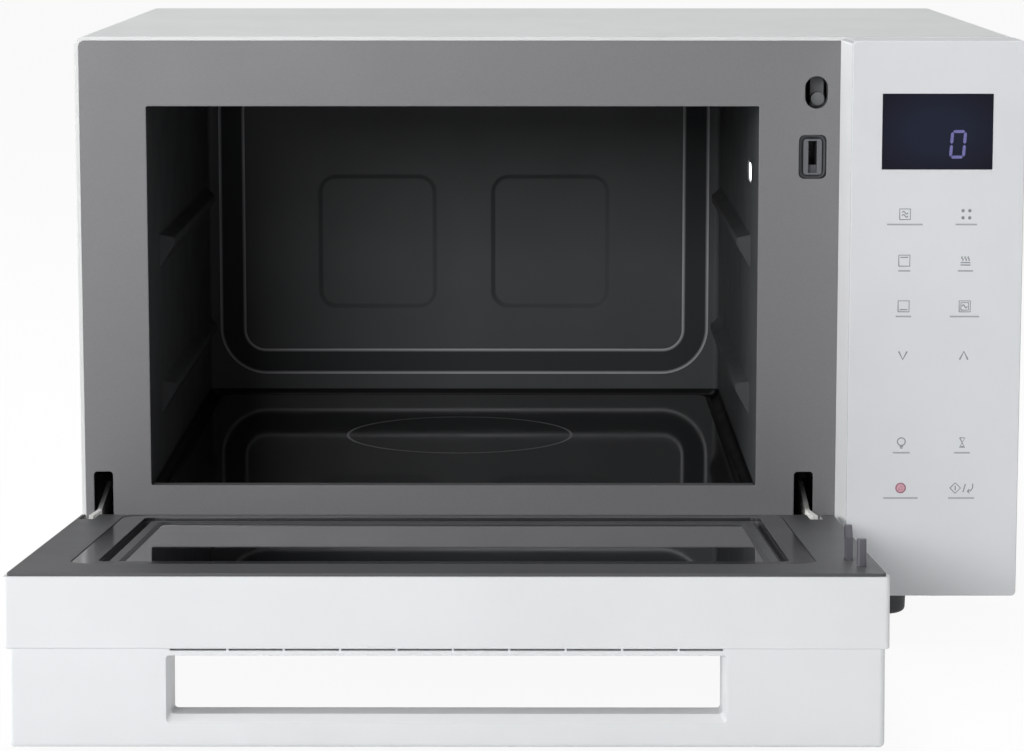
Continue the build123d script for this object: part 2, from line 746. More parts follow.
def cavity_form(grow):
    """The hollow of the oven, grown by the thickness of its sheet for the outside of the liner."""
    hollow = from_front(
        rectangle(
            CAVITY_LEFT - grow,
            CAVITY_RIGHT + grow,
            CAVITY_FLOOR - grow,
            CAVITY_CEILING + grow,
            CAVITY_CORNER + grow,
        ),
        FRAME_SHEET,
        CAVITY_DEPTH + grow,
    )
    rear = hollow.faces().sort_by(Axis.Y)[-1]
    hollow = fillet(rear.edges(), CAVITY_REAR_RADIUS + grow)
    hollow -= step_panel(grow)
    for side in (-1, 1):
        hollow += pressed_square(side, grow)
        for height in RAIL_HEIGHTS:
            hollow -= shelf_rail(side, height, grow)
    well = rod_z(CAVITY_CENTRE_X, STIRRER_Y, WELL_RADIUS + grow, WELL_FLOOR - grow, CAVITY_FLOOR + 1)
    return hollow + well


def cavity_liner():
    liner = cavity_form(CAVITY_SHEET) - cavity_form(0)
    out = CAVITY_SHEET + LINER_FLANGE
    outline = rectangle(
        CAVITY_LEFT - out, CAVITY_RIGHT + out, CAVITY_FLOOR - out, CAVITY_CEILING + out
    )
    outline -= rectangle(
        CAVITY_LEFT, CAVITY_RIGHT, CAVITY_FLOOR, CAVITY_CEILING, CAVITY_CORNER
    )
    liner += from_front(outline, FRAME_SHEET, FRAME_SHEET + CAVITY_SHEET)
    window = Pos(LAMP_Y, LAMP_Z) * SlotOverall(LAMP_LENGTH, LAMP_HEIGHT)
    liner -= from_side(window, CAVITY_RIGHT - 1, CAVITY_RIGHT + CAVITY_SHEET + 1)
    liner -= rod_z(CAVITY_CENTRE_X, STIRRER_Y, SHAFT_HOLE, WELL_FLOOR - 2, WELL_FLOOR + 1)
    for side in (-1, 1):
        x = CAVITY_CENTRE_X + side * HEATER_HALF_WIDTH
        hole = HEATER_RADIUS + HEATER_HOLE_FIT
        liner -= rod_y(x, HEATER_Z, hole, CAVITY_DEPTH - 2 * STEP_HEIGHT, BODY_DEPTH)
    return liner


def plate_outline(grow):
    return rectangle(
        CAVITY_LEFT + PLATE_SIDE_GAP - grow,
        CAVITY_RIGHT - PLATE_SIDE_GAP + grow,
        PLATE_FRONT_GAP - grow,
        CAVITY_DEPTH - PLATE_REAR_GAP + grow,
        PLATE_RADIUS + grow,
    )


def floor_plate():
    return from_top(plate_outline(0), CAVITY_FLOOR, PLATE_TOP)


def floor_seal():
    ring = plate_outline(SEAL_WIDTH) - plate_outline(SEAL_FIT)
    inside = rectangle(CAVITY_LEFT, CAVITY_RIGHT, FRAME_SHEET + SEAM, CAVITY_DEPTH)
    return from_top(ring & inside, CAVITY_FLOOR, PLATE_TOP - SEAL_DROP)


def grill_heater():
    """One bent tube: out through the rear wall, along the ceiling in three loops and back out."""
    x = [CAVITY_CENTRE_X + k * HEATER_HALF_WIDTH / 3 for k in (-3, -1, 1, 3)]
    turn = HEATER_HALF_WIDTH / 3
    front = HEATER_FRONT_Y + turn
    back = HEATER_BACK_Y - turn
    end = CAVITY_DEPTH + HEATER_TAIL
    path = [Line((x[0], end, HEATER_Z), (x[0], front, HEATER_Z))]
    path.append(bend(x[0], x[1], front, front - turn))
    path.append(Line((x[1], front, HEATER_Z), (x[1], back, HEATER_Z)))
    path.append(bend(x[1], x[2], back, back + turn))
    path.append(Line((x[2], back, HEATER_Z), (x[2], front, HEATER_Z)))
    path.append(bend(x[2], x[3], front, front - turn))
    path.append(Line((x[3], front, HEATER_Z), (x[3], end, HEATER_Z)))
    section = Plane(origin=(x[0], end, HEATER_Z), z_dir=(0, -1, 0)) * Circle(HEATER_RADIUS)
    return sweep(section, path=Wire(path))


def bend(left, right, y_ends, y_middle):
    """Half a turn of the heater between two of its straight runs."""
    middle = (left + right) / 2
    return ThreePointArc(
        (left, y_ends, HEATER_Z), (middle, y_middle, HEATER_Z), (right, y_ends, HEATER_Z)
    )


def heater_clips():
    clips = []
    half = HEATER_RADIUS + HEATER_HOLE_FIT + CLIP_SHEET
    for k in (-3, -1, 1, 3):
        x = CAVITY_CENTRE_X + k * HEATER_HALF_WIDTH / 3
        y = CLIP_Y
        clip = box(x - half, x + half, y, y + CLIP_WIDTH, HEATER_Z - half, CAVITY_CEILING)
        clip -= rod_y(x, HEATER_Z, HEATER_RADIUS + HEATER_HOLE_FIT, y - 1, y + CLIP_WIDTH + 1)
        clips.append(clip)
    return group(clips)


# Stirrer, waveguide and magnetron


def stirrer_antenna():
    low = WELL_FLOOR + STIRRER_CLEAR
    blade = Circle(STIRRER_RADIUS)
    blade -= Pos(0, STIRRER_RADIUS * 1.45) * Rectangle(2 * STIRRER_RADIUS, STIRRER_RADIUS * 1.6)
    for angle in (200, 250, 310):
        slot = Pos(STIRRER_RADIUS * 0.62, 0) * SlotOverall(30, 8, rotation=90)
        blade -= Rot(0, 0, angle) * slot
    blade -= Circle(SHAFT_NECK + SHAFT_FIT)
    return Pos(CAVITY_CENTRE_X, STIRRER_Y, low) * extrude(blade, STIRRER_SHEET)


def stirrer_shaft():
    low = GUIDE_BOTTOM - MOTOR_SOCKET + SEAM
    blade = WELL_FLOOR + STIRRER_CLEAR
    shaft = rod_z(CAVITY_CENTRE_X, STIRRER_Y, SHAFT_RADIUS, low, blade)
    neck = rod_z(CAVITY_CENTRE_X, STIRRER_Y, SHAFT_NECK, blade, blade + STIRRER_SHEET + 1)
    return shaft + neck


def stirrer_motor():
    case = rod_z(CAVITY_CENTRE_X, STIRRER_Y, MOTOR_RADIUS, FLOOR_PAN + 1, GUIDE_BOTTOM)
    reach = MOTOR_RADIUS + MOTOR_TAB
    case += box(
        CAVITY_CENTRE_X - reach,
        CAVITY_CENTRE_X + reach,
        STIRRER_Y - MOTOR_TAB / 2,
        STIRRER_Y + MOTOR_TAB / 2,
        GUIDE_BOTTOM - STIRRER_SHEET,
        GUIDE_BOTTOM,
    )
    bore = SHAFT_RADIUS + SHAFT_FIT
    return case - rod_z(
        CAVITY_CENTRE_X, STIRRER_Y, bore, GUIDE_BOTTOM - MOTOR_SOCKET, GUIDE_BOTTOM + 1
    )


def waveguide():
    left = CAVITY_CENTRE_X - GUIDE_WIDTH / 2
    front = STIRRER_Y - GUIDE_WIDTH / 2
    back = STIRRER_Y + GUIDE_WIDTH / 2
    wall = GUIDE_WALL
    guide = box(left, GUIDE_END_X, front, back, GUIDE_BOTTOM, GUIDE_TOP)
    guide -= box(
        left + wall,
        GUIDE_END_X - wall,
        front + wall,
        back - wall,
        GUIDE_BOTTOM + wall,
        GUIDE_TOP - wall,
    )
    guide -= rod_z(CAVITY_CENTRE_X, STIRRER_Y, SHAFT_HOLE, GUIDE_TOP - 2, GUIDE_TOP + 1)
    guide -= rod_z(
        CAVITY_CENTRE_X, STIRRER_Y, SHAFT_RADIUS + 1, GUIDE_BOTTOM - 1, GUIDE_BOTTOM + 2
    )
    return guide - rod_z(MAGNETRON_X, STIRRER_Y, DOME_HOLE, GUIDE_TOP - 2, GUIDE_TOP + 1)


def magnetron():
    """A finned anode between two ring magnets in a steel yoke, open along Y for the air."""
    half_x = MAGNETRON_WIDTH / 2
    half_y = MAGNETRON_DEPTH / 2
    low = GUIDE_TOP
    high = GUIDE_TOP + MAGNETRON_HEIGHT
    yoke = box(-half_x, half_x, -half_y, half_y, low, high)
    yoke -= box(
        YOKE_SHEET - half_x,
        half_x - YOKE_SHEET,
        -half_y - 1,
        half_y + 1,
        low + YOKE_SHEET,
        high - YOKE_SHEET,
    )
    body = yoke + rod_z(0, 0, ANODE_RADIUS, low + 1, high - 1)
    body += rod_z(0, 0, MAGNET_RADIUS, low + 1, low + YOKE_SHEET + MAGNET_HEIGHT)
    body += rod_z(0, 0, MAGNET_RADIUS, high - YOKE_SHEET - MAGNET_HEIGHT, high - 1)
    fins_low = low + YOKE_SHEET + MAGNET_HEIGHT + FIN_INSET
    fins_high = high - YOKE_SHEET - MAGNET_HEIGHT - FIN_INSET
    pitch = (fins_high - fins_low) / (FIN_COUNT - 1)
    reach = half_x - YOKE_SHEET / 2
    for k in range(FIN_COUNT):
        z = fins_low + k * pitch - FIN_SHEET / 2
        body += box(-reach, reach, FIN_INSET - half_y, half_y - FIN_INSET, z, z + FIN_SHEET)
    body += rod_z(0, 0, DOME_RADIUS, GUIDE_BOTTOM + 3 * GUIDE_WALL, low + 1)
    end = half_x + FILTER_REACH
    bottom = high - YOKE_SHEET - FILTER_HEIGHT
    body += box(half_x - 1, end, -FILTER_HALF, FILTER_HALF, bottom, high - YOKE_SHEET)
    middle = (bottom + high) / 2
    for y in (-FILTER_HALF / 3, FILTER_HALF / 3):
        body += box(end - 1, end + 6, y - 3, y + 3, middle, middle + 1)
    return Pos(MAGNETRON_X, STIRRER_Y, 0) * body


# Power board, fan and other parts behind the control panel


def inverter_board():
    board = box(BOARD_LEFT, BOARD_RIGHT, BOARD_FRONT, BOARD_BACK, BOARD_Z, BOARD_TOP)
    for x in (BOARD_LEFT + POST_INSET, BOARD_RIGHT - POST_INSET):
        for y in (BOARD_FRONT + POST_INSET, BOARD_BACK - POST_INSET):
            board += rod_z(x, y, POST_RADIUS, FLOOR_PAN, BOARD_Z + BOARD_SHEET / 2)
    low = BOARD_TOP - BOARD_SHEET / 2
    for k in range(3):
        y = BOARD_FRONT + 2 * CAN_RADIUS + k * CAN_PITCH
        x = BOARD_RIGHT - CAN_RADIUS - POST_INSET
        board += rod_z(x, y, CAN_RADIUS, low, BOARD_TOP + CAN_HEIGHT)
    x = BOARD_LEFT + 2 * POST_INSET
    y = BOARD_BACK - POST_RADIUS
    return board + box(x, x + CAN_HEIGHT, y - CAN_RADIUS, y, low, BOARD_TOP + CAN_RADIUS)


def inverter_heat_sink():
    left = BOARD_LEFT + CAN_RADIUS
    front = BOARD_FRONT + POST_INSET + 1
    back = front + SINK_LENGTH
    sink = box(left, left + SINK_WIDTH, front, back, BOARD_TOP, BOARD_TOP + SINK_BASE)
    for k in range(SINK_FINS):
        x = left + k * (SINK_WIDTH - SINK_FIN) / (SINK_FINS - 1)
        sink += box(x, x + SINK_FIN, front, back, BOARD_TOP, BOARD_TOP + SINK_HEIGHT)
    return sink


def inverter_transformer():
    """A ferrite ring with its winding round both limbs, as two solids."""
    x = BOARD_RIGHT - 2 * CAN_RADIUS - 2 * POST_INSET - CORE_WIDTH / 2 - 1
    y = (BOARD_FRONT + BOARD_BACK) / 2 - POST_INSET
    place = Pos(x, y, BOARD_TOP)
    half = CORE_WIDTH / 2
    deep = CORE_DEPTH / 2
    core = box(-half, half, -deep, deep, 0, CORE_HEIGHT)
    hole = half - CORE_LIMB
    core -= box(-hole, hole, -deep - 1, deep + 1, CORE_LIMB, CORE_HEIGHT - CORE_LIMB)
    low = CORE_LIMB + WINDING_FIT
    high = CORE_HEIGHT - CORE_LIMB - WINDING_FIT
    side = WINDING_DEPTH / 2
    winding = box(1 - half, half - 1, -side, side, low, high)
    winding = fillet(winding.edges().filter_by(Axis.Z), CORE_LIMB)
    keep = hole - WINDING_FIT
    limbs = box(-half - 1, half + 1, -deep - WINDING_FIT, deep + WINDING_FIT, 0, CORE_HEIGHT)
    winding -= limbs - box(-keep, keep, -deep - 1, deep + 1, 0, CORE_HEIGHT)
    return group([place * core, place * winding])


def noise_filter():
    face = REAR_Y - FILTER_POST
    front = face - BOARD_SHEET
    right = FILTER_LEFT + FILTER_BOARD_WIDTH
    board = box(FILTER_LEFT, right, front, face, FILTER_BOTTOM, FILTER_TOP)
    for x in (FILTER_LEFT + POST_INSET, right - POST_INSET):
        for z in (FILTER_BOTTOM + POST_INSET, FILTER_TOP - POST_INSET):
            board += rod_y(x, z, POST_RADIUS, face - BOARD_SHEET / 2, REAR_Y)
    z = (FILTER_BOTTOM + FILTER_TOP) / 2
    x = FILTER_LEFT + POST_INSET + CHOKE_COIL_RADIUS + 1
    inside = front + BOARD_SHEET / 2
    board += rod_y(x, z, CHOKE_COIL_RADIUS, front - CHOKE_COIL_RADIUS, inside)
    x = right - POST_INSET - FILTER_BLOCK
    side = FILTER_BLOCK
    return board + box(x, x + side, front - side, inside, z - side, z + side)


def fan_housing():
    half = FAN_FRAME / 2
    frame = from_front(
        rectangle(FAN_X - half, FAN_X + half, FAN_Z - half, FAN_Z + half, FAN_BOSS_INSET),
        FAN_FRONT,
        FAN_BACK,
    )
    frame -= rod_y(FAN_X, FAN_Z, FAN_BORE, FAN_FRONT - 1, FAN_BACK + 1)
    arm_front = FAN_BACK - FAN_ARM
    spider = rod_y(FAN_X, FAN_Z, FAN_MOTOR_RADIUS + 2, arm_front, FAN_BACK)
    for angle in (45, 135):
        arm = box(-FAN_BORE - 1, FAN_BORE + 1, arm_front, FAN_BACK, -2.5, 2.5)
        spider += Pos(FAN_X, 0, FAN_Z) * Rot(0, angle, 0) * arm
    spider -= rod_y(FAN_X, FAN_Z, FAN_SHAFT + 2, arm_front - 1, FAN_BACK + 1)
    frame += spider
    for x in (-1, 1):
        for z in (-1, 1):
            inset = half - FAN_BOSS_INSET
            place = (FAN_X + x * inset, FAN_Z + z * inset)
            frame += rod_y(*place, 4, FAN_BACK - 1, REAR_Y)
    return frame


def fan_rotor():
    """A hub on a shaft with twisted blades, cut to one tip circle."""
    front = FAN_FRONT + 3
    back = FAN_BACK - FAN_ARM - 1.5
    hub = rod_y(0, 0, FAN_HUB, front, back)
    middle = (front + back) / 2
    blades = []
    for k in range(FAN_BLADES):
        blade = Box(2 * FAN_BORE, FAN_BLADE_WIDTH, FAN_BLADE_SHEET)
        blade = Pos(FAN_BORE, 0, 0) * Rot(FAN_BLADE_TWIST, 0, 0) * blade
        blade = Rot(0, 360 / FAN_BLADES * k, 0) * blade
        blades.append(Pos(0, middle, 0) * blade)
    tips = rod_y(0, 0, FAN_BORE - FAN_TIP_GAP, front, back)
    rotor = hub + [blade & tips for blade in blades]
    rotor += rod_y(0, 0, FAN_SHAFT, back - 1, FAN_BACK + FAN_REAR_GAP - 4)
    return Pos(FAN_X, 0, FAN_Z) * rotor


def fan_motor():
    back = REAR_Y - 1
    case = rod_y(FAN_X, FAN_Z, FAN_MOTOR_RADIUS, FAN_BACK, back)
    bore = FAN_SHAFT + SHAFT_FIT
    return case - rod_y(FAN_X, FAN_Z, bore, FAN_BACK - 1, FAN_BACK + FAN_REAR_GAP - 3.7)


def air_guide():
    """A duct that narrows from the fan to the magnetron's fins."""
    def mouth(grow):
        half = FAN_FRAME / 2 - 2 + grow
        return rectangle(FAN_X - half, FAN_X + half, FAN_Z - half, FAN_Z + half)

    def end(grow):
        half = MAGNETRON_WIDTH / 2 + grow
        return rectangle(
            MAGNETRON_X - half,
            MAGNETRON_X + half,
            GUIDE_TOP - grow,
            GUIDE_TOP + MAGNETRON_HEIGHT + grow,
        )

    near = STIRRER_Y + MAGNETRON_DEPTH / 2
    outside = front_loft(mouth(0), FAN_FRONT, end(0), near)
    return outside - front_loft(mouth(-DUCT_WALL), FAN_FRONT, end(-DUCT_WALL), near)


def lamp_cover():
    wall = CAVITY_RIGHT + CAVITY_SHEET
    outline = Pos(LAMP_Y, LAMP_Z) * SlotOverall(LAMP_LENGTH + 10, LAMP_HEIGHT + 10)
    return from_side(outline, wall, wall + LAMP_GLASS)


def lamp_holder():
    x0 = CAVITY_RIGHT + CAVITY_SHEET + LAMP_GLASS
    holder = rod_x(LAMP_Y, LAMP_Z, LAMP_TUBE, x0, x0 + LAMP_REACH)
    holder -= rod_x(LAMP_Y, LAMP_Z, LAMP_TUBE - 1.2, x0 - 1, x0 + LAMP_REACH - 6)
    return holder + box(x0, x0 + 1.2, LAMP_Y - 26, LAMP_Y - 10, LAMP_Z - 8, LAMP_Z + 8)


def oven_lamp():
    x0 = CAVITY_RIGHT + CAVITY_SHEET + LAMP_GLASS
    back = x0 + LAMP_REACH - 6
    bulb = rod_x(LAMP_Y, LAMP_Z, LAMP_BULB, back - 2.5 * LAMP_BULB, back)
    return fillet(bulb.edges().sort_by(Axis.X)[0], LAMP_BULB * 0.7)


def thermostats():
    low = CAVITY_CEILING + CAVITY_SHEET
    parts = []
    for x, y in THERMOSTAT_PLACES:
        disc = rod_z(x, y, THERMOSTAT_RADIUS, low, low + THERMOSTAT_HEIGHT)
        reach = THERMOSTAT_FLANGE
        half = THERMOSTAT_RADIUS / 2
        disc += box(x - reach, x + reach, y - half, y + half, low, low + CAVITY_SHEET)
        high = low + THERMOSTAT_HEIGHT
        for tab in (x - half, x + half):
            disc += box(tab - 0.4, tab + 0.4, y - 3, y + 3, high - 1, high + half)
        parts.append(disc)
    return group(parts)


# Latch behind the front frame


def latch_housing():
    wall = HOUSING_WALL
    case = box(
        HOUSING_LEFT, HOUSING_RIGHT, FRAME_SHEET, HOUSING_DEPTH, HOUSING_BOTTOM, HOUSING_TOP
    )
    case -= box(
        HOUSING_LEFT + wall,
        HOUSING_RIGHT - wall,
        0,
        HOUSING_DEPTH - wall,
        HOUSING_BOTTOM + wall,
        HOUSING_TOP - wall,
    )
    return case + rod_x(LEVER_Y, LEVER_Z, LEVER_PIN, HOUSING_LEFT + 1, HOUSING_RIGHT - 1)


def latch_socket():
    face = centred(LATCH_X, LATCH_Z, SOCKET_FACE_WIDTH, SOCKET_FACE_HEIGHT, 1.5)
    socket = from_front(face, SOCKET_FRONT, SOCKET_DEPTH)
    wing = rectangle(
        HOUSING_LEFT + HOUSING_WALL,
        HOUSING_RIGHT - HOUSING_WALL,
        LATCH_Z - SOCKET_FACE_HEIGHT / 2,
        LATCH_Z + SOCKET_FACE_HEIGHT / 2,
    )
    socket += from_front(wing, SOCKET_DEPTH - 3, SOCKET_DEPTH)
    slot = centred(LATCH_X, LATCH_Z, SOCKET_SLOT_WIDTH, SOCKET_SLOT_HEIGHT)
    socket -= from_front(slot, 0, SOCKET_DEPTH + 1)
    half = SOCKET_SLOT_WIDTH / 2 + 0.5
    low = LATCH_Z - SOCKET_SLOT_HEIGHT / 2
    return socket + box(
        LATCH_X - half,
        LATCH_X + half,
        CATCH_DEPTH,
        CATCH_DEPTH + CATCH_THICKNESS,
        low - 0.5,
        LATCH_Z - HOOK_HALF + CATCH_BITE,
    )


def door_plunger():
    """The lever that the door's block meets: it hangs from its pivot pin at the top."""
    x0 = PLUNGER_X - PLUNGER_RADIUS
    x1 = PLUNGER_X + PLUNGER_RADIUS
    side = circle(LEVER_Y, LEVER_Z, LEVER_EYE)
    side += rectangle(LEVER_Y - 6, LEVER_Y - 2, PLUNGER_Z - PLUNGER_RADIUS - 1, LEVER_Z)
    side -= circle(LEVER_Y, LEVER_Z, LEVER_PIN + PIN_FIT)
    lever = from_side(side, x0, x1)
    return lever + rod_y(PLUNGER_X, PLUNGER_Z, PLUNGER_RADIUS, PLUNGER_TIP, LEVER_Y - 4)


def door_switches():
    """Two switches on the housing's rear wall, one for the lever and one for the hook."""
    back = HOUSING_DEPTH - HOUSING_WALL
    switches = []
    for x, z, front, reach, up in (
        (PLUNGER_X, LEVER_Z - LEVER_EYE - SWITCH_HEIGHT / 2 - 2, LEVER_Y + 3.2, 2.3, SWITCH_RAISE),
        (LATCH_X, LATCH_Z, LEVER_Y + 1, 3.5, 0),
    ):
        half = SWITCH_HEIGHT / 2
        case = box(x - SWITCH_HALF, x + SWITCH_HALF, front, back, z - half, z + half)
        switches.append(case + rod_y(x, z + up, SWITCH_BUTTON, front - reach, front + 1))
    return group(switches)


# Control panel


def panel_outline(y, inset):
    left = PANEL_LEFT - PANEL_DRAFT * y / PANEL_STANDOFF
    return rectangle(
        left + inset,
        HALF - inset,
        PANEL_BOTTOM + inset,
        PANEL_TOP - inset,
        max(PANEL_RADIUS - inset, 1.0),
    )


def panel_fascia():
    front = PANEL_FACE_Y
    inner = PANEL_INNER_Y
    fascia = front_loft(panel_outline(0, 0), 0, panel_outline(front, 0), front)
    fascia = fillet(fascia.faces().sort_by(Axis.Y)[0].edges(), PANEL_EDGE)
    hollow = front_loft(panel_outline(1, PANEL_WALL), 1, panel_outline(inner, PANEL_WALL), inner)
    fascia -= hollow
    fascia += from_front(display_outline(DISPLAY_LEDGE), inner - 0.5, inner + PANEL_RIB)
    fascia -= from_front(display_outline(0), front - 1, front + DISPLAY_GLASS)
    fascia -= from_front(display_outline(-DISPLAY_LEDGE), front, inner + 2)
    for x in (BOSS_LEFT, BOSS_RIGHT):
        for z in BOSS_HEIGHTS:
            fascia += rod_y(x, z, POST_RADIUS, inner - 0.5, CONTROL_Y)
    for z in PANEL_RIBS:
        fascia += box(PANEL_LEFT + 3, HALF - 2, inner - 0.5, CONTROL_Y / 3, z, z + PANEL_RIB)
    return fascia


def display_outline(grow):
    return rectangle(
        DISPLAY_LEFT - grow, DISPLAY_RIGHT + grow, DISPLAY_BOTTOM - grow, DISPLAY_TOP + grow
    )


def display_window():
    back = PANEL_FACE_Y + DISPLAY_GLASS
    return from_front(display_outline(-DISPLAY_FIT), PANEL_FACE_Y, back)


def display_module():
    front = PANEL_FACE_Y + DISPLAY_GLASS
    return from_front(display_outline(-DISPLAY_LEDGE - DISPLAY_FIT), front, CONTROL_Y)


def touch_sensor():
    """The sensing sheet stuck behind the printed keys."""
    left = BOSS_LEFT + POST_INSET
    right = BOSS_RIGHT - POST_INSET
    keys = rectangle(left, right, KEYS_BOTTOM, KEYS_TOP)
    return from_front(keys, PANEL_INNER_Y, PANEL_INNER_Y + SENSOR_SHEET)


def control_board():
    low = BOSS_HEIGHTS[0] - 2 * POST_RADIUS
    high = BOSS_HEIGHTS[-1] + 2 * POST_RADIUS
    back = CONTROL_Y + BOARD_SHEET
    board = box(BOSS_LEFT - POST_INSET, BOSS_RIGHT + POST_INSET, CONTROL_Y, back, low, high)
    middle = (BOSS_LEFT + BOSS_RIGHT) / 2
    for x, z, width, height, depth in (
        (middle - RELAY_WIDTH, BOSS_HEIGHTS[1], RELAY_WIDTH, 1.7 * RELAY_WIDTH, 9.0),
        (middle + RELAY_WIDTH / 2, low + RELAY_WIDTH, 0.7 * RELAY_WIDTH, RELAY_WIDTH, 12.0),
        (middle, KEYS_TOP - RELAY_WIDTH, 1.6 * RELAY_WIDTH, 0.6 * RELAY_WIDTH, 6.0),
    ):
        part = centred(x, z, width, height)
        board += from_front(part, back - BOARD_SHEET / 2, back + depth)
    return board


# Door, drawn closed


def door_side(inner_y, inset):
    """Side outline of the door: its lower inner corner is an arc about the hinge line."""
    outer = DOOR_OUTER_Y + inset
    radius = DOOR_ARC - inset
    bottom = PIVOT_Z - radius
    outline = rectangle(outer, inner_y, PIVOT_Z, DOOR_TOP - inset)
    outline += rectangle(outer, -PIVOT_OUT, bottom, PIVOT_Z)
    corner = circle(-PIVOT_OUT, PIVOT_Z, radius)
    return outline + (corner & rectangle(-PIVOT_OUT, inner_y, bottom, PIVOT_Z))


def door_front(inset, radius):
    return rectangle(
        DOOR_LEFT + inset, DOOR_RIGHT - inset, DOOR_BOTTOM + inset, DOOR_TOP - inset, radius
    )


def door_window(half, far, near, radius):
    """An outline in the door's front view, centred on the cavity, as heights above the pivot."""
    return rectangle(
        CAVITY_CENTRE_X - half, CAVITY_CENTRE_X + half, PIVOT_Z + far, PIVOT_Z + near, radius
    )


def glass_outline(grow):
    return rectangle(
        DOOR_LEFT + WINDOW_MARGIN - grow,
        DOOR_RIGHT - WINDOW_MARGIN + grow,
        PIVOT_Z + WINDOW_FAR - grow,
        HANDLE_TOP - HANDLE_HEIGHT - WINDOW_TOP_GAP + grow,
        WINDOW_RADIUS + grow,
    )


def hinge_slits():
    """The two slits that let the hinge plates into the door."""
    low = PIVOT_Z - DOOR_ARC - 1
    high = PIVOT_Z + SLIT_REACH
    cuts = []
    for side in (-1, 1):
        x = sorted(CAVITY_CENTRE_X + side * off for off in (SLIT_INNER_OFFSET, SLIT_OUTER_OFFSET))
        cuts.append(box(*x, DOOR_OUTER_Y + DOOR_SHELL_WALL + 1, 1, low, high))
    return cuts


def door_shell():
    shell = from_side(door_side(DOOR_RIM_Y, 0), DOOR_LEFT, DOOR_RIGHT)
    top = [edge for edge in shell.edges() if edge.center().Z > DOOR_TOP - SEAM]
    shell = fillet([edge for edge in top if edge.length < PANEL_STANDOFF], DOOR_CORNER)
    face = [edge for edge in shell.edges() if edge.center().Y < DOOR_OUTER_Y + SEAM]
    shell = fillet(face, DOOR_EDGE)
    wall = DOOR_SHELL_WALL
    shell -= from_side(door_side(1, wall), DOOR_LEFT + wall, DOOR_RIGHT - wall)
    seat = DOOR_OUTER_Y + OUTER_GLASS
    shell += from_front(glass_outline(WINDOW_RIM), DOOR_OUTER_Y + 1, seat + INNER_SHEET)
    shell -= from_front(glass_outline(DISPLAY_FIT), DOOR_OUTER_Y - 1, seat)
    shell -= from_front(glass_outline(-WINDOW_LEDGE), DOOR_OUTER_Y, seat + INNER_SHEET + 1)
    return shell - hinge_slits()


def door_outer_glass():
    return from_front(glass_outline(0), DOOR_OUTER_Y, DOOR_OUTER_Y + OUTER_GLASS)


def door_inner_frame():
    """The grey plate round the glass, with a skirt inside the shell and ears for the hook."""
    plate = from_front(door_front(INNER_EDGE, DOOR_CORNER), DOOR_RIM_Y, DOOR_INNER_Y)
    plate &= from_side(door_side(DOOR_INNER_Y, 0), DOOR_LEFT, DOOR_RIGHT)
    inset = DOOR_SHELL_WALL + SEAM
    skirt = door_front(inset, 1.0) - door_front(inset + INNER_SHEET, 1.0)
    skirt &= rectangle(DOOR_LEFT, DOOR_RIGHT, PIVOT_Z + SLIT_REACH + SKIRT_LIFT, DOOR_TOP)
    plate += from_front(skirt, DOOR_RIM_Y - SKIRT_DEPTH, DOOR_RIM_Y + 0.5)
    plate -= from_front(
        door_window(CHOKE_HALF, CHOKE_FAR, CHOKE_NEAR, CHOKE_RADIUS), DOOR_OUTER_Y, 1
    )
    ear = circle(HOOK_PIVOT_Y, HOOK_PIVOT_Z, HOOK_EAR)
    ear += rectangle(
        HOOK_PIVOT_Y, DOOR_RIM_Y + 0.5, HOOK_PIVOT_Z - HOOK_EAR, HOOK_PIVOT_Z + HOOK_EAR
    )
    ear -= circle(HOOK_PIVOT_Y, HOOK_PIVOT_Z, HOOK_PIN_RADIUS + PIN_SEAT)
    for side in (-1, 1):
        near = LATCH_X + side * (HOOK_THICKNESS / 2 + SEAM)
        x = sorted((near, near + side * HOOK_EAR_SHEET))
        plate += from_side(ear, *x)
    half = HOOK_THICKNESS / 2 + SEAM
    plate -= box(
        LATCH_X - half,
        LATCH_X + half,
        DOOR_RIM_Y - 1,
        1,
        HOOK_PIVOT_Z - HOOK_EAR - 1.5,
        HOOK_PIVOT_Z + HOOK_EAR + 1.5,
    )
    return plate - hinge_slits()


def door_choke_cover():
    """The glossy ring round the recess of the inner glass."""
    gap = CHOKE_GAP
    ring = door_window(
        CHOKE_HALF - gap, CHOKE_FAR + gap, CHOKE_NEAR - gap, CHOKE_RADIUS - gap
    )
    ring -= door_window(RECESS_HALF, RECESS_FAR, RECESS_NEAR, RECESS_RADIUS)
    top = DOOR_INNER_Y - CHOKE_DROP
    return from_front(ring, top - CHOKE_SHEET, top)


def bezel_outlines(inset):
    return door_window(
        RECESS_HALF - inset, RECESS_FAR + inset, RECESS_NEAR - inset, RECESS_RADIUS
    )


